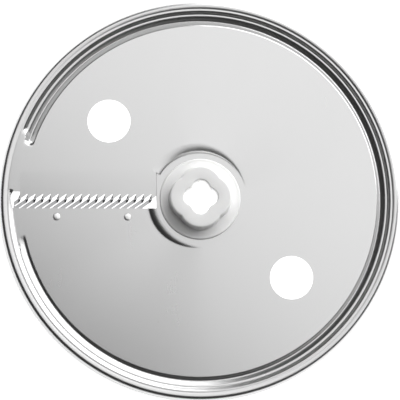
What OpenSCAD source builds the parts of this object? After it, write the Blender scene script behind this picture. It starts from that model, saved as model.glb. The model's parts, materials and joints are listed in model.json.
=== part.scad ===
// Julienne disc for a food processor: a stamped steel disc with a terraced rim and a
// lanced, ramped slot, a comb of upright knives riveted under the slot, and a plastic
// drive hub held on by a collar. Cutting side up, +Z up, millimetres.
// The origin is on the hub's axis, on the plane that the rim's foot stands on.

/* [Disc] */
// Outer diameter of the disc
disc_d = 140; // [120:1:180]
// Thickness of the disc's sheet
sheet_t = 0.8; // [0.6:0.05:1]
// Height of the flat ring round the hub above the rim's foot
ring_z = 4.2; // [4:0.1:6]
// Radius at which the flat ring round the hub ends
ring_r = 16.4; // [15.6:0.1:18]

/* [Rim] */
// Width of the rim, from the gutter's floor to the outer edge
rim_w = 7.3; // [7:0.1:9]
// Depth of the gutter's floor below the ring
gutter_depth = 0.9; // [0.8:0.1:1.8]
// Height of the lower terrace above the ring
low_terrace = 0.1; // [0:0.05:0.4]
// Height of the rim's crest above the ring
crest = 1.35; // [1.3:0.05:2.2]

/* [Slot and ramp] */
// Height of the cutting edge's plate above the ring
ramp_up = 1.1; // [1:0.1:1.6]
// Depth of the feeding side's plate below the ring
ramp_down = 0.6; // [0.4:0.1:1]
// Distance from the axis to the slot's inner end
slot_inner = 15.2; // [15:0.1:15.6]
// Distance from the radial line to the slot's feeding edge
slot_low = 3.2; // [3:0.1:4]
// Distance from the radial line to the slot's far edge, past the teeth
slot_high = 2.45; // [2:0.05:3]
// Length of the lanced side of the raised plate
lance_len = 6.8; // [5:0.1:8]

/* [Comb] */
// Number of knives on a disc of the standard diameter
knives = 18; // [8:1:19]
// Distance between neighbouring knives
pitch = 2.68; // [2.4:0.02:2.7]
// Slant of the fingers and of the cutting teeth, from the radial line
slant = 35; // [30:1:40]
// Thickness of the comb's sheet
comb_t = 0.55; // [0.4:0.05:0.6]
// Height of the knives above the fingers
knife_h = 1.6; // [1.2:0.1:2.2]
// Distance by which each knife's top stands ahead of its foot
knife_reach = 1.47; // [1:0.01:1.5]
// Gap between neighbouring fingers, measured across them
finger_gap = 0.35; // [0.25:0.05:0.6]
// Width of the comb's strip beyond the slot's edge
strip_w = 6; // [5:0.1:7]
// Clearance between each knife and the tooth beside it
tooth_gap = 0.1; // [0.05:0.05:0.2]
// Distance from the slot's inner end to the innermost tooth
inner_room = 1.7; // [1.6:0.1:3]

/* [Rivets] */
// Diameter of a rivet's shank
rivet_d = 1.6; // [1.2:0.1:2]
// Diameter of a rivet's head
rivet_head_d = 2.5; // [2.3:0.1:3.4]
// Height of a rivet's domed head
rivet_head_h = 0.3; // [0.2:0.05:0.8]
// Radial clearance of a rivet in its holes
rivet_gap = 0.03; // [0.02:0.01:0.1]
// Distance from the slot's inner end to the inner rivet
rivet_near = 10; // [8:0.5:14]
// Distance from the slot's inner end to the outer rivet
rivet_far = 34.6; // [30:0.1:36]

/* [Finger holes] */
// Diameter of a finger hole
finger_d = 15; // [12:0.5:18]
// Distance from the axis to a finger hole's centre
finger_r = 41.8; // [38:0.1:46]
// Direction of the line through the finger holes, from +X
finger_angle = 139.4; // [136:0.2:142]

/* [Hub] */
// Diameter of the hub's flange
flange_d = 28; // [26:0.5:29]
// Thickness of the flange
flange_t = 1.2; // [1:0.1:2]
// Height of the boss above the flange
boss_h = 9; // [4:0.5:14]
// Distance from the axis to the tip of each lobe of the boss
boss_lobe = 10.6; // [10:0.1:11.6]
// Distance from the axis to the waists between the boss's lobes
boss_waist = 9.4; // [9:0.1:9.6]
// Distance from the axis to the tip of each lobe of the drive socket
socket_lobe = 5.85; // [5:0.05:6.2]
// Distance from the axis to the waists between the socket's lobes
socket_waist = 4.65; // [4.3:0.05:4.95]
// Radius of the tips of the socket's lobes
socket_tip = 3; // [2.6:0.1:3.2]
// Chamfer round the boss's top
boss_chamfer = 0.6; // [0.2:0.1:0.8]
// Chamfer round the flange's top
flange_chamfer = 0.3; // [0.1:0.1:0.6]
// Diameter of the neck that passes through the disc
neck_d = 17.2; // [16.6:0.2:18]
// Radial clearance round the neck
neck_gap = 0.05; // [0.03:0.01:0.1]
// Diameter of the round shaft guide in the underside
guide_d = 12.8; // [12.6:0.1:13.4]
// Depth of the shaft guide
guide_depth = 1.6; // [1:0.1:2.4]
// Diameter of the collar
collar_d = 25; // [23:0.5:28]
// Thickness of the collar
collar_t = 2; // [1.4:0.1:2.4]
// Width of the four keys that stop the hub turning in the disc
key_w = 2.6; // [2:0.1:4]
// Height of the keys above the neck
key_out = 1; // [0.6:0.1:1.4]

/* [Hidden] */
$fn = 96;

disc_r = disc_d / 2;
gutter_r = disc_r - rim_w;
// Radius at which the slot shears the rim's lower terrace.
terrace_r = disc_r - 5;
// Radius at which the raised plate runs into the upper terrace.
join_r = disc_r - 3.5;
// Overlap of sheets that are one piece, and the width of a shear cut.
lap = 0.3;
skin = 0.1;
// Angle of the ground face behind the teeth.
grind = 0.8;
// Plan width of the wall between the ring and the ramp: a base, and a share of its height.
wall_base = 0.3;
wall_slope = 1.9;
// Plan width of the roll into the gutter, in the same way.
roll_base = 0.6;
roll_slope = 0.6;
// How far a cutter runs past what it cuts, and the slot past the terrace's inner edge.
past = 1;
slot_past = 0.5;

// Directions, in degrees from +X, between which the plate is ramped.
rise_start = 12;
rise_end = 108;
split = 181.5;
fall_end = 205;
fall_start = 275;
// Direction at which the raised plate stops running flush into the upper terrace.
flush_end = 177.2;
flush_step = 0.3;
lance_top = slot_high + lance_len;
lance_angle = 180 - atan(lance_top / slot_inner);
// Directions between which the gutter stops, so that the slot can pass it.
gutter_stop = 163;
gutter_start = 191.5;
gutter_fade = 3;

teeth_step = pitch * tan(slant);
tooth_tip = -0.12;
// Diameter of the disc that the number of knives is given for.
standard_d = 140;
// Number of teeth, and of knives: a larger disc has a longer slot, which holds more.
teeth = knives + floor((disc_d - standard_d) / 2 / pitch);
first_tooth = -(slot_inner + inner_room + (teeth - 1) * pitch);
finger_len_y = teeth_step - finger_gap / cos(slant);
finger_top_y = 0.02;
finger_low_y = finger_top_y - finger_len_y;
low_plate_z = ring_z - ramp_down;
comb_top_z = low_plate_z - sheet_t;
comb_r = terrace_r - 0.15;
// Inner end of the comb's strip, and the gap between the strip and the slot.
strip_inner = slot_inner + 1.6;
strip_back = 0.3;
// Width of the web that ties the outermost finger to the strip, and its distance below the tip.
comb_link = 0.5;
link_drop = 0.9;
comb_low_z = comb_top_z - comb_t;
rivet_x = [-(slot_inner + rivet_near), -(slot_inner + rivet_far)];
rivet_y = -(slot_low + strip_w / 2);

flange_z = ring_z + flange_t;
boss_z = flange_z + boss_h;
collar_z = ring_z - sheet_t - collar_t;

function smooth(t) = let (u = max(0, min(1, t))) u * u * (3 - 2 * u);
function mix(a, b, t) = a + (b - a) * t;

// Height of the plate above the ring in each direction.
function plate_h(a) = a <= split
    ? ramp_up * smooth((a - rise_start) / (rise_end - rise_start))
    : -ramp_down * (1 - smooth((a - fall_end) / (fall_start - fall_end)));

// 1 where the gutter runs, 0 beside the slot.
function gutter_on(a) = a <= split
    ? smooth((gutter_stop - a) / gutter_fade)
    : smooth((a - gutter_start) / gutter_fade);

// Inner end of the ramped sheet: it overlaps the ring, or is cut free along the lance.
function lanced(a) = a > lance_angle && a <= split;
function inner_end(a) = lanced(a)
    ? [for (i = [0 : 2]) [(slot_inner + skin) / abs(cos(a)) + i * 0.3, plate_h(a)]]
    : [[ring_r - lap, 0], [ring_r, 0], [ring_r + wall_base + wall_slope * abs(plate_h(a)), plate_h(a)]];

// Outer end beside the slot: it runs flush into the upper terrace, or is sheared.
function outer_end(a) = a <= flush_end ? [join_r, ramp_up] : [terrace_r - skin, plate_h(a)];

// Top face of the sheet in direction a, from the ring to the rim: [radius, height].
function sheet_section(a) =
    let (h = plate_h(a), on = gutter_on(a), last = outer_end(a), floor = -gutter_depth)
    let (roll = roll_base + roll_slope * (h - floor))
    concat(inner_end(a), [
        [gutter_r - roll, h],
        [gutter_r - 0.35 * roll, mix(h, mix(floor, h, 0.25), on)],
        [gutter_r, mix(h, floor, on)],
        [gutter_r + 0.4, mix(h, floor, on)],
        [terrace_r - 0.7, mix(h, low_terrace - 0.15, on)],
        [terrace_r - 0.4, mix(h, low_terrace, on)],
        [mix(last[0], terrace_r + lap / 2, on), mix(last[1], low_terrace, on)]
    ]);

// Top face of the rim, from the lower terrace over the crest to the foot: [radius, height].
rim_top = [
    [terrace_r, low_terrace],
    [terrace_r + lap, low_terrace],
    [terrace_r + 1, ramp_up - 0.1],
    [terrace_r + 1.3, ramp_up],
    [disc_r - 3.1, ramp_up],
    [disc_r - 2.7, crest - 0.08],
    [disc_r - 2.2, crest],
    [disc_r - 1.7, crest - 0.08],
    [disc_r - 1.1, crest - 0.55],
    [disc_r - 0.5, crest - 1.4],
    [disc_r - 0.12, crest - 2.3],
    [disc_r, crest - 3.2],
    [disc_r, -ring_z]
];

// The rim's under face: straight below the terraces, and straight inward at the outer wall.
function under_side(p) = 90 * smooth(1 - (disc_r - p[0]) / 2.2);
function under(path) = [for (p = path) p - sheet_t * [sin(under_side(p)), cos(under_side(p))]];
function reversed(p) = [for (i = [len(p) - 1 : -1 : 0]) p[i]];

module rim() {
    translate([0, 0, ring_z])
        rotate_extrude()
            polygon(concat(rim_top, reversed(under(rim_top))));
}

// The flat ring that the hub sits on, up to the lance.
module ring() {
    translate([0, 0, ring_z - sheet_t])
        linear_extrude(sheet_t)
            difference() {
                circle(r = ring_r - lap / 2);
                translate([-disc_r, -slot_low])
                    square([disc_r - slot_inner, slot_low + lance_top]);
                key_outline(neck_gap);
            }
}

// The plate: a sheet swept round from one side of the slot to the other.
module plate() {
    angles = concat(fall_angles, level_angles, rise_angles);
    n = len(sheet_section(0));
    top = [for (a = angles) for (p = sheet_section(a)) [p[0] * cos(a), p[0] * sin(a), ring_z + p[1]]];
    low = [for (p = top) [p[0], p[1], p[2] - sheet_t]];
    m = len(top);
    last = len(angles) - 1;
    function at(j, i) = j * n + i;
    function strip(p, q) = [[p[0], p[1], q[0]], [q[0], p[1], q[1]]];
    top_faces = [for (j = [0 : last - 1]) for (i = [0 : n - 2])
        each strip([at(j, i), at(j + 1, i)], [at(j, i + 1), at(j + 1, i + 1)])];
    low_faces = [for (f = top_faces) [f[0] + m, f[2] + m, f[1] + m]];
    end_faces = [for (i = [0 : n - 2])
        each concat(
            strip([m + at(0, i), at(0, i)], [m + at(0, i + 1), at(0, i + 1)]),
            strip([at(last, i), m + at(last, i)], [at(last, i + 1), m + at(last, i + 1)])
        )];
    edge_faces = [for (j = [0 : last - 1])
        each concat(
            strip([at(j, 0), m + at(j, 0)], [at(j + 1, 0), m + at(j + 1, 0)]),
            strip([m + at(j, n - 1), at(j, n - 1)], [m + at(j + 1, n - 1), at(j + 1, n - 1)])
        )];
    polyhedron(points = concat(top, low), faces = concat(top_faces, low_faces, end_faces, edge_faces));
}

function span(a, b, n) = [for (i = [0 : n - 1]) mix(a, b, i / n)];

rise_angles = concat(
    span(rise_start, rise_end, 18),
    span(rise_end, lance_angle, 6),
    span(lance_angle, gutter_stop - gutter_fade, 3),
    span(gutter_stop - gutter_fade, gutter_stop, 3),
    span(gutter_stop, flush_end, 4),
    [flush_end],
    span(flush_end + flush_step, split, 2),
    [split]
);
level_angles = concat(span(fall_start, 360, 18), span(0, rise_start, 3));
fall_angles = concat(
    span(split + 0.5, gutter_start, 2),
    span(gutter_start, gutter_start + gutter_fade, 3),
    span(gutter_start + gutter_fade, fall_end, 6),
    span(fall_end, fall_start, 8)
);

// Outline of the slot, with the sawtooth of the cutting edge along its far side.
module slot_outline() {
    saw = [for (i = [teeth - 1 : -1 : 0]) let (x = first_tooth + i * pitch)
        each [[x + pitch, tooth_tip + teeth_step], [x, tooth_tip]]];
    intersection() {
        polygon(concat(
            saw,
            [[first_tooth, slot_high], [-disc_r, slot_high], [-disc_r, -slot_low]],
            [[saw[0][0], -slot_low]]
        ));
        circle(r = terrace_r + slot_past);
        translate([-disc_r, -disc_r])
            square([disc_r - slot_inner, disc_d]);
    }
}

module key_outline(gap) {
    circle(r = neck_d / 2 + gap);
    for (a = [0 : 90 : 270])
        rotate(a)
            translate([0, -key_w / 2 - gap])
                square([neck_d / 2 + key_out + gap, key_w + 2 * gap]);
}

module rivet_holes() {
    for (x = rivet_x)
        translate([x, rivet_y, -past])
            cylinder(r = rivet_d / 2 + rivet_gap, h = ring_z + 2 * past);
}

module disc_plate() {
    color("lightsteelblue")
    difference() {
        union() {
            rim();
            ring();
            plate();
        }
        translate([0, 0, -past])
            linear_extrude(ring_z + ramp_up + 2 * past)
                slot_outline();
        // Ground face behind the cutting teeth.
        translate([first_tooth, lance_top, ring_z + ramp_up])
            rotate([grind, 0, 0])
                translate([0, -lance_top - past, 0])
                    cube([-first_tooth - slot_inner, lance_top + past, 2]);
        for (turn = [0, 180])
            rotate([0, 0, finger_angle + turn])
                translate([finger_r, 0, -past])
                    cylinder(d = finger_d, h = ring_z + ramp_up + 2 * past);
        rivet_holes();
    }
}

// A finger, from its knife down along the slant into the strip.
module finger(x) {
    root_y = -slot_low - strip_back - skin;
    run = function (y) (y - root_y) / tan(slant);
    polygon([
        [x, finger_top_y],
        [x, finger_low_y],
        [x - run(finger_low_y), root_y],
        [x - run(finger_top_y), root_y]
    ]);
}

// A finger's end, folded upright: it reaches ahead as it rises.
module knife(x) {
    translate([x, 0, comb_top_z - skin])
        rotate([90, 0, 90])
            linear_extrude(comb_t)
                polygon([
                    [finger_low_y, 0],
                    [finger_top_y, 0],
                    [finger_top_y + knife_reach, knife_h + skin],
                    [finger_low_y + knife_reach, knife_h + skin]
                ]);
}

module julienne_comb() {
    color("gainsboro")
    difference() {
        union() {
            translate([0, 0, comb_low_z])
                linear_extrude(comb_t)
                    intersection() {
                        union() {
                            translate([-comb_r, -slot_low - strip_w])
                                square([comb_r - strip_inner, strip_w - strip_back]);
                            for (i = [0 : teeth - 1])
                                finger(first_tooth - tooth_gap - comb_t + i * pitch);
                            translate([-comb_r, -slot_low - strip_w])
                                square([comb_link, strip_w + slot_low + finger_low_y - link_drop]);
                        }
                        circle(r = comb_r);
                    }
            for (i = [0 : teeth - 1])
                translate([first_tooth - tooth_gap - comb_t + i * pitch, 0, 0]) {
                    knife(0);
                    translate([-skin, finger_low_y, comb_low_z])
                        cube([comb_t + skin, finger_len_y, comb_t]);
                }
        }
        rivet_holes();
    }
}

module rivet() {
    shank = sheet_t + comb_t;
    head_r = (pow(rivet_head_d / 2, 2) + pow(rivet_head_h, 2)) / (2 * rivet_head_h);
    translate([0, 0, -shank])
        cylinder(d = rivet_d, h = shank);
    for (flip = [0, 1])
        translate([0, 0, flip ? -shank : 0])
            mirror([0, 0, flip])
                intersection() {
                    translate([0, 0, rivet_head_h - head_r]) sphere(r = head_r);
                    cylinder(d = rivet_head_d, h = rivet_head_h);
                }
}

module comb_rivets() {
    color("silver")
    for (x = rivet_x)
        translate([x, rivet_y, low_plate_z])
            rivet();
}

// Boss: four round lobes on the axes, which meet in waists on the diagonals.
module boss(h) {
    c = (pow(boss_lobe, 2) - pow(boss_waist, 2)) / (2 * boss_lobe - sqrt(2) * boss_waist);
    r = boss_lobe - c;
    for (a = [0 : 90 : 270])
        rotate([0, 0, a])
            translate([c, 0, 0]) {
                cylinder(r = r, h = h - boss_chamfer);
                translate([0, 0, h - boss_chamfer])
                    cylinder(r1 = r, r2 = r - boss_chamfer, h = boss_chamfer);
            }
}

// Socket: four lobes with round tips on the axes, joined by flats across the diagonals.
module socket_outline() {
    flat = sqrt(2) * socket_waist;
    cut = socket_lobe - socket_tip / 5;
    for (a = [0 : 90 : 270])
        rotate(a)
            translate([socket_lobe - socket_tip, 0])
                circle(r = socket_tip);
    polygon([
        for (a = [0 : 90 : 270])
            each [
                [cut * cos(a) - (cut - flat) * sin(a), cut * sin(a) + (cut - flat) * cos(a)],
                [cut * cos(a) + (cut - flat) * sin(a), cut * sin(a) - (cut - flat) * cos(a)]
            ]
    ]);
}

module hub() {
    color("white")
    difference() {
        union() {
            translate([0, 0, ring_z])
                cylinder(d = flange_d, h = flange_t - flange_chamfer);
            translate([0, 0, flange_z - flange_chamfer])
                cylinder(d1 = flange_d, d2 = flange_d - 2 * flange_chamfer, h = flange_chamfer);
            translate([0, 0, ring_z])
                boss(flange_t + boss_h);
            translate([0, 0, collar_z])
                linear_extrude(ring_z - collar_z + flange_t / 2)
                    key_outline(0);
        }
        translate([0, 0, collar_z - past])
            linear_extrude(boss_z - collar_z + 2 * past)
                socket_outline();
        translate([0, 0, collar_z - past])
            cylinder(d = guide_d, h = guide_depth + past);
    }
}

module hub_collar() {
    color("whitesmoke")
    translate([0, 0, collar_z])
        difference() {
            cylinder(d = collar_d, h = collar_t);
            translate([0, 0, -past])
                linear_extrude(collar_t + 2 * past)
                    key_outline(neck_gap);
        }
}

disc_plate();
julienne_comb();
comb_rivets();
hub();
hub_collar();
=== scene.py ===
"""Julienne disc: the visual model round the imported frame. Lengths are millimetres until mesh()."""
import json
import math

import bmesh
import bpy
from mathutils import Matrix, Quaternion, Vector


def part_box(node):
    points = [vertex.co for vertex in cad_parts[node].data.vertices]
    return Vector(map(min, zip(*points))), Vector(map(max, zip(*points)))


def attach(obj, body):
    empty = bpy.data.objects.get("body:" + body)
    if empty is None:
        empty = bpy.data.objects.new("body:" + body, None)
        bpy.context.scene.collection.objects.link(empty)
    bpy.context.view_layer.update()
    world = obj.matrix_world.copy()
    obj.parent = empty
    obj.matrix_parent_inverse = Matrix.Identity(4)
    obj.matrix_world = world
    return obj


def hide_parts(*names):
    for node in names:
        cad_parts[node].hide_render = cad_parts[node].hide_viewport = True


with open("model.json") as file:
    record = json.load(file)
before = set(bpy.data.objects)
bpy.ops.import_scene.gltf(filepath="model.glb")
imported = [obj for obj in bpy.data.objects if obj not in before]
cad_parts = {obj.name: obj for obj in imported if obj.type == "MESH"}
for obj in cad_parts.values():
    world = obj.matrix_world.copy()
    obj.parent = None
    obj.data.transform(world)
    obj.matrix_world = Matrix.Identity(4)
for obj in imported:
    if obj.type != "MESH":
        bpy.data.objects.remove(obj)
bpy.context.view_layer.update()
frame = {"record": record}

# ---------------------------------------------------------------- sizes, from the frame
MM = 0.001


def node_box(name):
    low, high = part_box(name)
    return Vector(low) / MM, Vector(high) / MM


def mount(name):
    return next(m for m in frame["record"]["mounts"] if m["name"] == name)


DISC_LOW, DISC_HIGH = node_box("disc_plate")
HUB_LOW, HUB_HIGH = node_box("hub")
RIVET_LOW, RIVET_HIGH = node_box("comb_rivets")
COLLAR_LOW, COLLAR_HIGH = node_box("hub_collar")

SHEET = 0.8
DISC_R = DISC_HIGH.x
WALL_R = -DISC_LOW.x
FLANGE_R = HUB_HIGH.x
FLANGE_T = 1.2
CREST = 1.35
RING_Z = DISC_HIGH.z - CREST
RAMP_UP = 1.1
RAMP_DOWN = 0.6
RING_R = 16.4
NECK_R = 8.6
KEY_W = 2.6
KEY_REACH = NECK_R + 1
FIT_GAP = 0.05
GUIDE_DEPTH = 1.6
BOSS_REACH, BOSS_WAIST = 10.6, 9.4
SOCKET_REACH, SOCKET_WAIST, SOCKET_TIP = 5.85, 4.65, 3.0

GUTTER_R = DISC_R - 7.3
GUTTER_Z = -0.9
TERRACE_R = DISC_R - 5
TERRACE_Z = 0.1

RISE_START, RISE_END = 12, 108
SPLIT = 181.5
FLUSH_END = 177.2
FALL_END, FALL_START = 205, 275
GUTTER_STOP, GUTTER_START, GUTTER_FADE = 163, 191.5, 2.5

SLOT_INNER = 15.2
SLOT_LOW = 3.2
SLOT_HIGH = 2.45
LANCE_TOP = SLOT_HIGH + 6.8
LANCE_ANGLE = 180 - math.degrees(math.atan(LANCE_TOP / SLOT_INNER))

KNIVES = 18
PITCH = 2.68
SLANT = math.radians(35)
TOOTH_STEP = PITCH * math.tan(SLANT)
TOOTH_TIP = -0.12
INNER_ROOM = 1.7
FIRST_TOOTH = -(SLOT_INNER + INNER_ROOM + (KNIVES - 1) * PITCH)
GRIND = math.radians(0.8)
COMB_T = 0.55
COMB_TOP = RING_Z - RAMP_DOWN - SHEET
KNIFE_H = 1.6
FINGER_GAP = 0.35
STRIP_W = 6
STRIP_BACK = 0.3
CUT_TOP = RING_Z + 6
RIVET_HEAD_R, RIVET_SHANK_R = 1.25, 0.8


# ---------------------------------------------------------------- small helpers
def smooth(t):
    u = min(1.0, max(0.0, t))
    return u * u * (3 - 2 * u)


def mix(a, b, t):
    return a + (b - a) * t


def rounded(path, passes):
    """Corner cutting: each pass puts two points, a quarter of the way along its sides, for each corner."""
    for _ in range(passes):
        cut = [path[0]]
        for (r0, z0), (r1, z1) in zip(path, path[1:]):
            cut.append((mix(r0, r1, 0.25), mix(z0, z1, 0.25)))
            cut.append((mix(r0, r1, 0.75), mix(z0, z1, 0.75)))
        path = cut + [path[-1]]
    return path


def mesh(name, points, faces, material, angle=35):
    """A new mesh object from points in millimetres, smooth except where faces meet at more than angle."""
    data = bpy.data.meshes.new(name)
    data.from_pydata([Vector(p) * MM for p in points], [], faces)
    obj = bpy.data.objects.new(name, data)
    bpy.context.scene.collection.objects.link(obj)
    bm = bmesh.new()
    bm.from_mesh(data)
    bmesh.ops.recalc_face_normals(bm, faces=bm.faces)
    bm.to_mesh(data)
    bm.free()
    if material:
        data.materials.append(material)
    data.shade_smooth()
    data.set_sharp_from_angle(angle=math.radians(angle))
    return obj


def closed_grid(rows):
    """Points and quads of a surface that closes on itself both along and across its rows."""
    n, m = len(rows), len(rows[0])
    points = [p for row in rows for p in row]
    faces = [
        (j * m + i, ((j + 1) % n) * m + i, ((j + 1) % n) * m + (i + 1) % m, j * m + (i + 1) % m)
        for j in range(n) for i in range(m)
    ]
    return points, faces


def prism(name, outline, low, high):
    n = len(outline)
    points = [(x, y, z) for z in (low, high) for x, y in outline]
    faces = [tuple(range(n)), tuple(range(n, 2 * n))]
    faces += [(i, (i + 1) % n, n + (i + 1) % n, n + i) for i in range(n)]
    return mesh(name, points, faces, None)


def cylinder(name, x, y, radius, low, high, sides=96):
    turn = [2 * math.pi * i / sides for i in range(sides)]
    outline = [(x + radius * math.cos(t), y + radius * math.sin(t)) for t in turn]
    return prism(name, outline, low, high)


def cut_away(obj, cutters, angle=30):
    """Subtracts the cutters from obj for good, and removes them."""
    for cutter in cutters:
        change = obj.modifiers.new("cut", "BOOLEAN")
        change.operation = "DIFFERENCE"
        change.object = cutter
        change.solver = "MANIFOLD"
        view = bpy.context.evaluated_depsgraph_get()
        data = bpy.data.meshes.new_from_object(obj.evaluated_get(view))
        obj.modifiers.clear()
        obj.data = data
        bpy.data.objects.remove(cutter)
    obj.data.shade_smooth()
    obj.data.set_sharp_from_angle(angle=math.radians(angle))


# ---------------------------------------------------------------- materials
def node_material(name):
    mat = bpy.data.materials.new(name)
    mat.use_nodes = True
    tree = mat.node_tree
    return mat, tree, tree.nodes["Principled BSDF"]


def add(tree, kind, **values):
    node = tree.nodes.new(kind)
    for key, value in values.items():
        if hasattr(node, key):
            setattr(node, key, value)
        else:
            node.inputs[key.replace("_", " ")].default_value = value
    return node


def steel(name, colour, roughness, grain=0.0, wear=0.02):
    """Rolled and polished stainless steel: cloudy roughness, faint hairlines, a trace of grain."""
    mat, tree, shader = node_material(name)
    link = tree.links.new
    shader.inputs["Metallic"].default_value = 1.0
    place = add(tree, "ShaderNodeTexCoord").outputs["Object"]

    clouds = add(tree, "ShaderNodeTexNoise", Scale=60.0, Detail=3.0)
    link(place, clouds.inputs["Vector"])
    hair = add(tree, "ShaderNodeTexNoise", Scale=900.0, Detail=4.0)
    stretch = add(tree, "ShaderNodeMapping")
    stretch.inputs["Scale"].default_value = (1.0, 0.04, 1.0)
    stretch.inputs["Rotation"].default_value = (0.0, 0.0, math.radians(38))
    link(place, stretch.inputs["Vector"])
    link(stretch.outputs["Vector"], hair.inputs["Vector"])

    both = add(tree, "ShaderNodeMix", data_type="FLOAT")
    both.inputs[0].default_value = 0.35
    link(clouds.outputs["Fac"], both.inputs[2])
    link(hair.outputs["Fac"], both.inputs[3])
    rough = add(tree, "ShaderNodeMapRange")
    rough.inputs["To Min"].default_value = roughness - wear
    rough.inputs["To Max"].default_value = roughness + wear
    link(both.outputs[0], rough.inputs["Value"])
    link(rough.outputs["Result"], shader.inputs["Roughness"])

    tint = add(tree, "ShaderNodeMix", data_type="RGBA")
    tint.inputs[6].default_value = (*[0.96 * c for c in colour], 1)
    tint.inputs[7].default_value = (*colour, 1)
    link(clouds.outputs["Fac"], tint.inputs[0])
    link(tint.outputs[2], shader.inputs["Base Color"])

    bump = add(tree, "ShaderNodeBump")
    bump.inputs["Strength"].default_value = 0.04 + grain
    bump.inputs["Distance"].default_value = 0.00002
    link(hair.outputs["Fac"], bump.inputs["Height"])
    link(bump.outputs["Normal"], shader.inputs["Normal"])
    return mat


def plastic(name, colour, roughness):
    """White moulded plastic with a faint mould grain and slightly milky depth."""
    mat, tree, shader = node_material(name)
    link = tree.links.new
    shader.inputs["Subsurface Weight"].default_value = 0.12
    shader.inputs["Subsurface Radius"].default_value = (0.002, 0.002, 0.0018)
    shader.inputs["Specular IOR Level"].default_value = 0.45
    place = add(tree, "ShaderNodeTexCoord").outputs["Object"]
    grain = add(tree, "ShaderNodeTexNoise", Scale=2600.0, Detail=2.0)
    clouds = add(tree, "ShaderNodeTexNoise", Scale=120.0, Detail=2.0)
    link(place, grain.inputs["Vector"])
    link(place, clouds.inputs["Vector"])
    tint = add(tree, "ShaderNodeMix", data_type="RGBA")
    tint.inputs[6].default_value = (*[0.965 * c for c in colour], 1)
    tint.inputs[7].default_value = (*colour, 1)
    link(clouds.outputs["Fac"], tint.inputs[0])
    link(tint.outputs[2], shader.inputs["Base Color"])
    rough = add(tree, "ShaderNodeMapRange")
    rough.inputs["To Min"].default_value = roughness - 0.06
    rough.inputs["To Max"].default_value = roughness + 0.06
    link(clouds.outputs["Fac"], rough.inputs["Value"])
    link(rough.outputs["Result"], shader.inputs["Roughness"])
    bump = add(tree, "ShaderNodeBump")
    bump.inputs["Strength"].default_value = 0.12
    bump.inputs["Distance"].default_value = 0.00002
    link(grain.outputs["Fac"], bump.inputs["Height"])
    link(bump.outputs["Normal"], shader.inputs["Normal"])
    return mat


PLATE_STEEL = steel("plate_steel", (0.62, 0.62, 0.62), 0.28)
COMB_STEEL = steel("comb_steel", (0.55, 0.55, 0.56), 0.34, grain=0.1)
# The near-black knife material is painted shade: its dark base colour stands in for the dark surroundings
# the knives' faces reflect, not the steel's own colour.
KNIFE_PAINTED_SHADE = steel("knife_painted_shade", (0.07, 0.07, 0.072), 0.4, grain=0.1)
RIVET_STEEL = steel("rivet_steel", (0.84, 0.84, 0.84), 0.3)
HUB_PLASTIC = plastic("hub_plastic", (0.98, 0.98, 0.975), 0.42)
COLLAR_PLASTIC = plastic("collar_plastic", (0.84, 0.84, 0.835), 0.5)


# ---------------------------------------------------------------- the stamped disc
def plate_height(a):
    if a <= SPLIT:
        return RAMP_UP * smooth((a - RISE_START) / (RISE_END - RISE_START))
    return -RAMP_DOWN * (1 - smooth((a - FALL_END) / (FALL_START - FALL_END)))


def gutter_on(a, r):
    """1 in the gutter, 0 beside the slot; the gutter's two ends are round in plan."""
    back = 3.0 * min(1.0, abs(r - GUTTER_R + 0.2) / 2.2) ** 2
    if a <= SPLIT:
        return smooth((GUTTER_STOP - back - a) / GUTTER_FADE)
    return smooth((a - GUTTER_START - back) / GUTTER_FADE)


def inner_points(a, h):
    """From the neck's hole over the flat ring and up or down its wall onto the plate."""
    ring = [(NECK_R + FIT_GAP, 0), (NECK_R + 0.4, 0), (12, 0)]
    if LANCE_ANGLE < a <= SPLIT:
        free = SLOT_INNER / abs(math.cos(math.radians(a)))
        cut = [(free - 0.25, 0), (free - 0.08, 0), (free - 0.02, h)]
        return ring + cut + [(free + out, h) for out in (0.3, 0.6, 1.0, 1.5)] + [(RING_R + 4.5, h)]
    if h >= 0:
        wall = 0.35 + 2.5 * h
        rise = [(0, 0), (0.06, 0.3), (0.16, 0.54), (0.55, 0.84), (1.0, 1.0)]
    else:
        wall = 0.8 + 2.5 * abs(h)
        rise = [(-0.35, 0), (0.0, 0.06), (0.35, 0.3), (0.7, 0.85), (0.85, 1.0)]
    steps = [(RING_R - 0.1 + wall * u, h * v) for u, v in rise]
    return ring + [(RING_R - 0.9, 0), *steps, (RING_R + wall + 0.7, h), (RING_R + 4.5, h)]


def outer_points(a, h):
    """Off the plate, through the gutter or straight across beside the slot, up to the lower terrace."""
    roll = 0.6 + 0.6 * (h - GUTTER_Z)
    path = [
        (30, h),
        (40, h),
        (50, h),
        (GUTTER_R - 4, h),
        (GUTTER_R - roll - 0.5, h),
        (GUTTER_R - roll + 0.1, h),
        (GUTTER_R - 0.2, GUTTER_Z),
        (GUTTER_R + 0.35, GUTTER_Z),
        (TERRACE_R - 0.75, TERRACE_Z - 0.12),
        (TERRACE_R - 0.35, TERRACE_Z),
    ]
    return [(r, mix(h, gutter, gutter_on(a, r))) for r, gutter in path]


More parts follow.
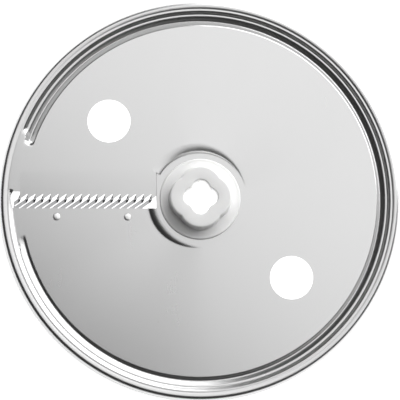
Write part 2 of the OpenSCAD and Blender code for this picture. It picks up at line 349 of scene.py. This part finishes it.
def rim_points(a, h):
    """From the lower terrace up the rim's steps, over the crest and down the outer wall."""
    on = gutter_on(a, TERRACE_R)
    flush = mix(h, TERRACE_Z, smooth((a - FLUSH_END) / 0.8)) if a <= SPLIT else TERRACE_Z
    return [
        (TERRACE_R - 0.07, mix(h, TERRACE_Z, on)),
        (TERRACE_R, mix(flush, TERRACE_Z, on)),
        (TERRACE_R + 0.12, mix(flush, TERRACE_Z, on)),
        (TERRACE_R + 1.1, mix(max(flush, RAMP_UP - 0.08), RAMP_UP - 0.08, on)),
        (TERRACE_R + 1.4, RAMP_UP),
        (DISC_R - 3.1, RAMP_UP - 0.03),
        (DISC_R - 2.7, CREST - 0.1),
        (DISC_R - 2.2, CREST),
        (DISC_R - 1.7, CREST),
        (DISC_R - 1.15, CREST - 0.25),
        (DISC_R - 0.5, CREST - 1.0),
        (DISC_R - 0.08, CREST - 2.4),
        (WALL_R, CREST - 3.2),
        (WALL_R, -RING_Z + 1.0),
        (WALL_R, -RING_Z + 0.25),
        (DISC_R - 0.1, -RING_Z + 0.02),
    ]


def under(r, z):
    """The under face: straight below the plate, and straight inward at the outer wall."""
    turn = math.pi / 2 * smooth(1 - (DISC_R - r) / 2.2)
    return r - SHEET * math.sin(turn), max(z - SHEET * math.cos(turn), -RING_Z)


def disc_angles():
    coarse = [0.75 * i for i in range(480)]
    fine = [145 + 0.2 * i for i in range(270)]
    keep = [a for a in coarse if not 145 <= a < 199]
    return sorted(keep + [a for a in fine if abs(a - SPLIT) > 0.05] + [SPLIT, SPLIT + 0.02])


def make_disc():
    rows = []
    for a in disc_angles():
        h = plate_height(a)
        top = rounded(inner_points(a, h) + outer_points(a, h) + rim_points(a, h), 2)
        low = [under(r, z) for r, z in reversed(top)]
        c, s = math.cos(math.radians(a)), math.sin(math.radians(a))
        rows.append([(r * c, r * s, RING_Z + z) for r, z in top + low])
    disc = mesh("disc_stamping", *closed_grid(rows), PLATE_STEEL)

    cutters = [prism("slot_cut", slot_outline(), 0, CUT_TOP), grind_wedge()]
    for name in ("finger_hole_slot_side", "finger_hole_far_side"):
        x, y, _ = (v / MM for v in mount(name)["pos_m"])
        cutters.append(cylinder(name, x, y, mount(name)["dims"]["r_mm"], 0, CUT_TOP, 160))
    cut_away(disc, cutters)
    edge = disc.modifiers.new("edge", "BEVEL")
    edge.width = 0.13 * MM
    edge.segments = 3
    edge.limit_method = "ANGLE"
    edge.angle_limit = math.radians(50)
    edge.harden_normals = True
    return disc


def slot_outline():
    """The slot: a straight feeding side, the sheared left end, and the sawtooth of the cutting edge."""
    right = -SLOT_INNER
    out = []
    for i in reversed(range(KNIVES)):
        x = FIRST_TOOTH + i * PITCH
        if i == KNIVES - 1:
            out.append((right, TOOTH_TIP + (right - x) * math.tan(SLANT)))
        else:
            out.append((x + PITCH, TOOTH_TIP + TOOTH_STEP))
        out.append((x, TOOTH_TIP))
    out.append((FIRST_TOOTH, SLOT_HIGH))
    bulge = [(0.05, SLOT_HIGH), (0.45, 1.6), (0.7, 0.3), (0.6, -0.9), (0.3, -2.0), (0.05, -SLOT_LOW)]
    out += [(-math.sqrt((TERRACE_R + past) ** 2 - y * y), y) for past, y in bulge]
    out.append((right, -SLOT_LOW))
    return out


def grind_wedge():
    """The shallow ground face behind the cutting teeth."""
    low, high = RING_Z + RAMP_UP, CUT_TOP
    drop = (LANCE_TOP + 1) * math.tan(GRIND)
    side = [(LANCE_TOP, low), (-1.0, low - drop), (-1.0, high), (LANCE_TOP, high)]
    points = [(x, y, z) for x in (FIRST_TOOTH, -SLOT_INNER + 1) for y, z in side]
    faces = [(0, 1, 2, 3), (4, 5, 6, 7)] + [(i, (i + 1) % 4, 4 + (i + 1) % 4, 4 + i) for i in range(4)]
    return mesh("grind", points, faces, None)


# ---------------------------------------------------------------- the comb
def finger_and_knife(x):
    """One finger: it runs along the slant, bends up over a small radius and thins to its cutting edges."""
    bend, upright = 0.25, math.radians(66)
    across = TOOTH_STEP - FINGER_GAP / math.cos(SLANT)
    low_y = 0.02 - across
    start = max(-(SLOT_LOW + 0.6 + 0.02) / math.tan(SLANT), -(TERRACE_R - 0.3) - x)
    arc = (bend + COMB_T / 2) * upright
    tall = (KNIFE_H - bend) / math.sin(upright)
    along = [start + (0 - start) * i / 6 for i in range(7)]
    along += [arc * i / 6 for i in range(1, 7)] + [arc + tall * i / 8 for i in range(1, 9)]
    cross = [0, 0.06, 0.2, 0.5, 0.85, 0.96, 1]
    last = along[-1]
    rows = []
    for s in along:
        phi = min(max(s / (bend + COMB_T / 2), 0), upright)
        past = max(s - arc, 0)
        cx, cz = math.sin(phi), 1 - math.cos(phi)
        mid_x = x + min(s, 0) + (bend + COMB_T / 2) * cx + past * math.cos(upright)
        mid_z = COMB_TOP - COMB_T / 2 + (bend + COMB_T / 2) * cz + past * math.sin(upright)
        thin = mix(1.0, 0.75, smooth((s - last + 0.5) / 0.5))
        row = []
        for v, side in [(v, 1) for v in cross] + [(v, -1) for v in reversed(cross)]:
            sharp = mix(0.6, 1.0, smooth(v / 0.4)) if s > arc * 0.5 else 1.0
            half = side * COMB_T / 2 * thin * sharp
            y = low_y + v * across + s * math.tan(SLANT)
            row.append((mid_x - half * math.sin(phi), y, mid_z + half * math.cos(phi)))
        rows.append(row)
    n, m = len(rows), len(rows[0])
    points = [p for row in rows for p in row]
    faces = [(j * m + i, (j + 1) * m + i, (j + 1) * m + (i + 1) % m, j * m + (i + 1) % m)
             for j in range(n - 1) for i in range(m)]
    half = m // 2
    for base in (0, (n - 1) * m):
        faces += [(base + i, base + i + 1, base + m - 2 - i, base + m - 1 - i) for i in range(half - 1)]
    return points, faces


def comb_strip():
    """The strip under the feeding side, round at its outer end, with the outermost finger's web."""
    back, front, tip = -SLOT_LOW - STRIP_W, -SLOT_LOW - STRIP_BACK, -2.3
    outer, inner, web = TERRACE_R - 0.15, -SLOT_INNER - 1.6, 0.5
    rim = [mix(tip, back, i / 12) for i in range(13)]
    outline = [(-math.sqrt(outer ** 2 - y * y), y) for y in rim]
    outline += [(inner - 0.4, back), (inner, back + 0.4), (inner, front)]
    outline += [(-outer + web, front), (-outer + web, tip)]
    n = len(outline)
    points = [(x, y, z) for z in (COMB_TOP - COMB_T + 0.01, COMB_TOP - 0.01) for x, y in outline]
    faces = [tuple(range(n)), tuple(range(n, 2 * n))]
    return points, faces + [(i, (i + 1) % n, n + (i + 1) % n, n + i) for i in range(n)]


def make_comb():
    """The strip and its fingers, each finger sunk into the strip by its root."""
    points, faces = comb_strip()
    for i in range(KNIVES):
        more, quads = finger_and_knife(FIRST_TOOTH - 0.1 - COMB_T - 0.25 + i * PITCH)
        faces += [tuple(len(points) + k for k in quad) for quad in quads]
        points += more
    comb = mesh("julienne_comb_blade", points, faces, COMB_STEEL, 40)
    # The raised knife faces get the near-black material as a painted dark reflection; the rest of the comb
    # keeps its plain steel.
    comb.data.materials.append(KNIFE_PAINTED_SHADE)
    for face in comb.data.polygons:
        raised = face.center.z > (COMB_TOP + 0.12) * MM
        if raised and abs(face.center.y) > 0.22 * MM:
            face.material_index = 1
    return comb


# ---------------------------------------------------------------- rivets
def make_rivet(name, x, y):
    """A domed head, a shank and an upset tail, turned as one profile."""
    head_r, shank_r = RIVET_HEAD_R, RIVET_SHANK_R
    top = RING_Z - RAMP_DOWN
    tail = top - SHEET - COMB_T
    dome = 0.2
    profile = [(0.0, top + dome)]
    profile += [(head_r * math.sin(t), top + dome * math.cos(t) ** 0.8)
                for t in (math.pi / 2 * i / 14 for i in range(1, 14))]
    profile += [(head_r, top + 0.03), (head_r, top), (shank_r, top), (shank_r, tail), (head_r, tail)]
    profile += [(head_r * math.cos(t), tail - dome * math.sin(t))
                for t in (math.pi / 2 * i / 8 for i in range(1, 8))]
    profile.append((0.0, tail - dome))
    sides = 56
    turn = [2 * math.pi * i / sides for i in range(sides)]
    points, faces, rings = [], [], []
    for r, z in profile:
        if r == 0:
            rings.append([len(points)] * sides)
            points.append((x, y, z))
        else:
            rings.append([len(points) + i for i in range(sides)])
            points += [(x + r * math.cos(t), y + r * math.sin(t), z) for t in turn]
    for a, b in zip(rings, rings[1:]):
        for i in range(sides):
            k = (i + 1) % sides
            faces.append(tuple(dict.fromkeys((a[i], a[k], b[k], b[i]))))
    return mesh(name, points, faces, RIVET_STEEL, 50)


# ---------------------------------------------------------------- the hub
def lobe_radius(reach, waist, tip, t):
    """Distance to the edge, in direction t, of four lobes with round tips joined by flats at the waists."""
    d = abs((t + math.pi / 4) % (math.pi / 2) - math.pi / 4)
    c = reach - tip
    inside = tip ** 2 - (c * math.sin(d)) ** 2
    lobe = c * math.cos(d) + math.sqrt(inside) if inside > 0 else 0.0
    flat = waist / math.cos(math.pi / 4 - d)
    flat = flat if flat < (reach - tip / 5) / math.cos(d) else 0.0
    high, low = max(lobe, flat), min(lobe, flat)
    soft = 0.3
    gap = max(soft - (high - low), 0) / soft
    return high + gap * gap * soft * 0.25


def boss_radius(t):
    """Distance to the boss's edge: four round lobes, which meet in waists."""
    reach, waist = BOSS_REACH, BOSS_WAIST
    c = (reach ** 2 - waist ** 2) / (2 * reach - math.sqrt(2) * waist)
    d = abs((t + math.pi / 4) % (math.pi / 2) - math.pi / 4)
    return c * math.cos(d) + math.sqrt((reach - c) ** 2 - (c * math.sin(d)) ** 2)


def fillet(r0, z0, r1, z1, steps, bulge):
    """Points of a quarter round from (r0, z0) to (r1, z1); bulge is the corner that it rounds."""
    br, bz = bulge
    out = []
    for i in range(steps + 1):
        t = i / steps
        out.append(((1 - t) ** 2 * r0 + 2 * t * (1 - t) * br + t * t * r1,
                    (1 - t) ** 2 * z0 + 2 * t * (1 - t) * bz + t * t * z1))
    return out


def make_hub():
    """One closed shell: socket, boss, flange, neck and shaft guide, as rings of lobed or round outline."""
    top, flange, ring, low = HUB_HIGH.z, RING_Z + FLANGE_T, RING_Z, HUB_LOW.z
    guide_r, guide_z = mount("shaft_guide")["dims"]["r_mm"], low + GUIDE_DEPTH
    boss = boss_radius
    socket = lambda t: lobe_radius(SOCKET_REACH, SOCKET_WAIST, SOCKET_TIP, t)
    flat = lambda t: 0.0
    rings = [(socket, 0.0, guide_z), (socket, 0.0, mix(guide_z, top, 0.5))]
    rings += [(socket, dr, z) for dr, z in fillet(0, top - 0.45, 0.45, top, 5, (0, top))]
    rings += [(boss, -dr, z) for dr, z in fillet(0.8, top, 0, top - 0.8, 6, (0, top))]
    root = fillet(0, flange + 0.45, 0.45, flange - 0.1, 5, (0, flange - 0.1))
    rings += [(boss, dr + 0.12, z) for dr, z in root]
    edge = FLANGE_R
    lip = [(edge - 1.1, flange - 0.1), (edge - 0.75, flange - 0.08), (edge - 0.5, flange)]
    lip += fillet(edge - 0.35, flange, edge, flange - 0.35, 4, (edge, flange))
    lip += [(edge, ring + 0.1), (edge - 0.1, ring)]
    rings += [(flat, r, z) for r, z in lip]
    rings += [(key_radius, 0.0, ring), (key_radius, 0.0, low + 0.2), (key_radius, -0.2, low)]
    rings += [(flat, r, z) for r, z in [(guide_r + 0.2, low), (guide_r, low + 0.2), (guide_r, guide_z)]]
    sides = 288
    rows = []
    for i in range(sides):
        t = 2 * math.pi * (i + 0.5) / sides
        rows.append([((f(t) + d) * math.cos(t), (f(t) + d) * math.sin(t), z) for f, d, z in rings])
    return mesh("drive_hub", *closed_grid(rows), HUB_PLASTIC, 50)


def key_radius(t):
    """Distance to the neck's edge in direction t: round, with four keys."""
    d = (t + math.pi / 4) % (math.pi / 2) - math.pi / 4
    key = KEY_REACH / math.cos(d)
    inside = abs(key * math.sin(d)) <= KEY_W / 2
    return key if inside else max(NECK_R, min(key, KEY_W / 2 / max(abs(math.sin(d)), 1e-6)))


def make_collar():
    """A moulded washer with a keyed hole, eased edges and a shallow groove under it."""
    low, high = COLLAR_LOW.z, COLLAR_HIGH.z
    outer, ease = COLLAR_HIGH.x, 0.35
    gap = lambda t: key_radius(t) + FIT_GAP
    flat = lambda t: 0.0
    rings = [(gap, 0.0, low + 0.2), (gap, 0.0, high - 0.1), (gap, 0.1, high)]
    rings += [(flat, outer - 0.15, high), (flat, outer, high - 0.15)]
    rings += [(flat, r, z) for r, z in fillet(outer, low + ease, outer - ease, low, 5, (outer, low))]
    rings += [(flat, outer - 1.0, low), (flat, outer - 1.2, low + 0.25), (flat, outer - 2.2, low + 0.25)]
    rings += [(flat, outer - 2.4, low), (gap, 0.2, low)]
    sides = 288
    rows = []
    for i in range(sides):
        t = 2 * math.pi * (i + 0.5) / sides
        rows.append([((f(t) + d) * math.cos(t), (f(t) + d) * math.sin(t), z) for f, d, z in rings])
    return mesh("hub_washer", *closed_grid(rows), COLLAR_PLASTIC, 40)


# ---------------------------------------------------------------- build
disc = make_disc()
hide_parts("disc_plate")
comb = make_comb()
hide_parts("julienne_comb")
hub = make_hub()
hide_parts("hub")
collar = make_collar()
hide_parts("hub_collar")
rivet_y = (RIVET_LOW.y + RIVET_HIGH.y) / 2
rivets = [
    make_rivet("comb_rivet_outer", RIVET_LOW.x + RIVET_HEAD_R, rivet_y),
    make_rivet("comb_rivet_inner", RIVET_HIGH.x - RIVET_HEAD_R, rivet_y),
]
for rivet in rivets:
    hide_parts("comb_rivets")
for piece in [disc, comb, hub, collar, *rivets]:
    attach(piece, "root")


# ---------------------------------------------------------------- floor, light and camera
def floor():
    mat, tree, shader = node_material("paper")
    shader.inputs["Base Color"].default_value = (0.9, 0.9, 0.9, 1)
    shader.inputs["Roughness"].default_value = 0.9
    shader.inputs["Emission Color"].default_value = (1, 1, 1, 1)
    shader.inputs["Emission Strength"].default_value = 0.9
    half = 900
    corners = [(-half, -half), (half, -half), (half, half), (-half, half)]
    obj = mesh("floor", [(x, y, -0.05) for x, y in corners], [(0, 1, 2, 3)], mat)


def soft_light(name, at, target, size, power, turn):
    data = bpy.data.lights.new(name, "AREA")
    data.shape = "RECTANGLE"
    data.size, data.size_y = size
    data.energy = power
    obj = bpy.data.objects.new(name, data)
    obj.location = at
    aim = (Vector(target) - Vector(at)).to_track_quat("-Z", "Y")
    obj.rotation_euler = (aim @ Quaternion((0, 0, 1), turn)).to_euler()
    bpy.context.scene.collection.objects.link(obj)


def camera():
    tilt, swing, distance = math.radians(5.4), math.radians(16), 0.58
    target = Vector((0, -0.14, DISC_HIGH.z - CREST - 1.4)) * MM
    away = Vector((-math.sin(tilt) * math.sin(swing), -math.sin(tilt) * math.cos(swing), math.cos(tilt)))
    data = bpy.data.cameras.new("camera")
    data.sensor_width = 36
    seen = 2 * DISC_R * MM * 400 / 401.8
    data.lens = data.sensor_width * distance / seen
    obj = bpy.data.objects.new("camera", data)
    side = Vector((0, 1, 0)).cross(away).normalized()
    up = away.cross(side)
    at = target + away * distance
    obj.matrix_world = Matrix([(side[i], up[i], away[i], at[i]) for i in range(3)] + [(0, 0, 0, 1)])
    bpy.context.scene.collection.objects.link(obj)
    bpy.context.scene.camera = obj


world = bpy.data.worlds.new("studio")
world.use_nodes = True
world.node_tree.nodes["Background"].inputs["Color"].default_value = (0.03, 0.03, 0.03, 1)
bpy.context.scene.world = world
bpy.context.scene.view_settings.view_transform = "Standard"
floor()
soft_light("key", (0.56, 0.68, 1.2), (0.56, 0.68, 0), (1.9, 1.9), 15, math.radians(50))
soft_light("side", (1.0, 1.15, 0.62), (0, 0, 0.3), (2.6, 1.1), 36, 0)
camera()
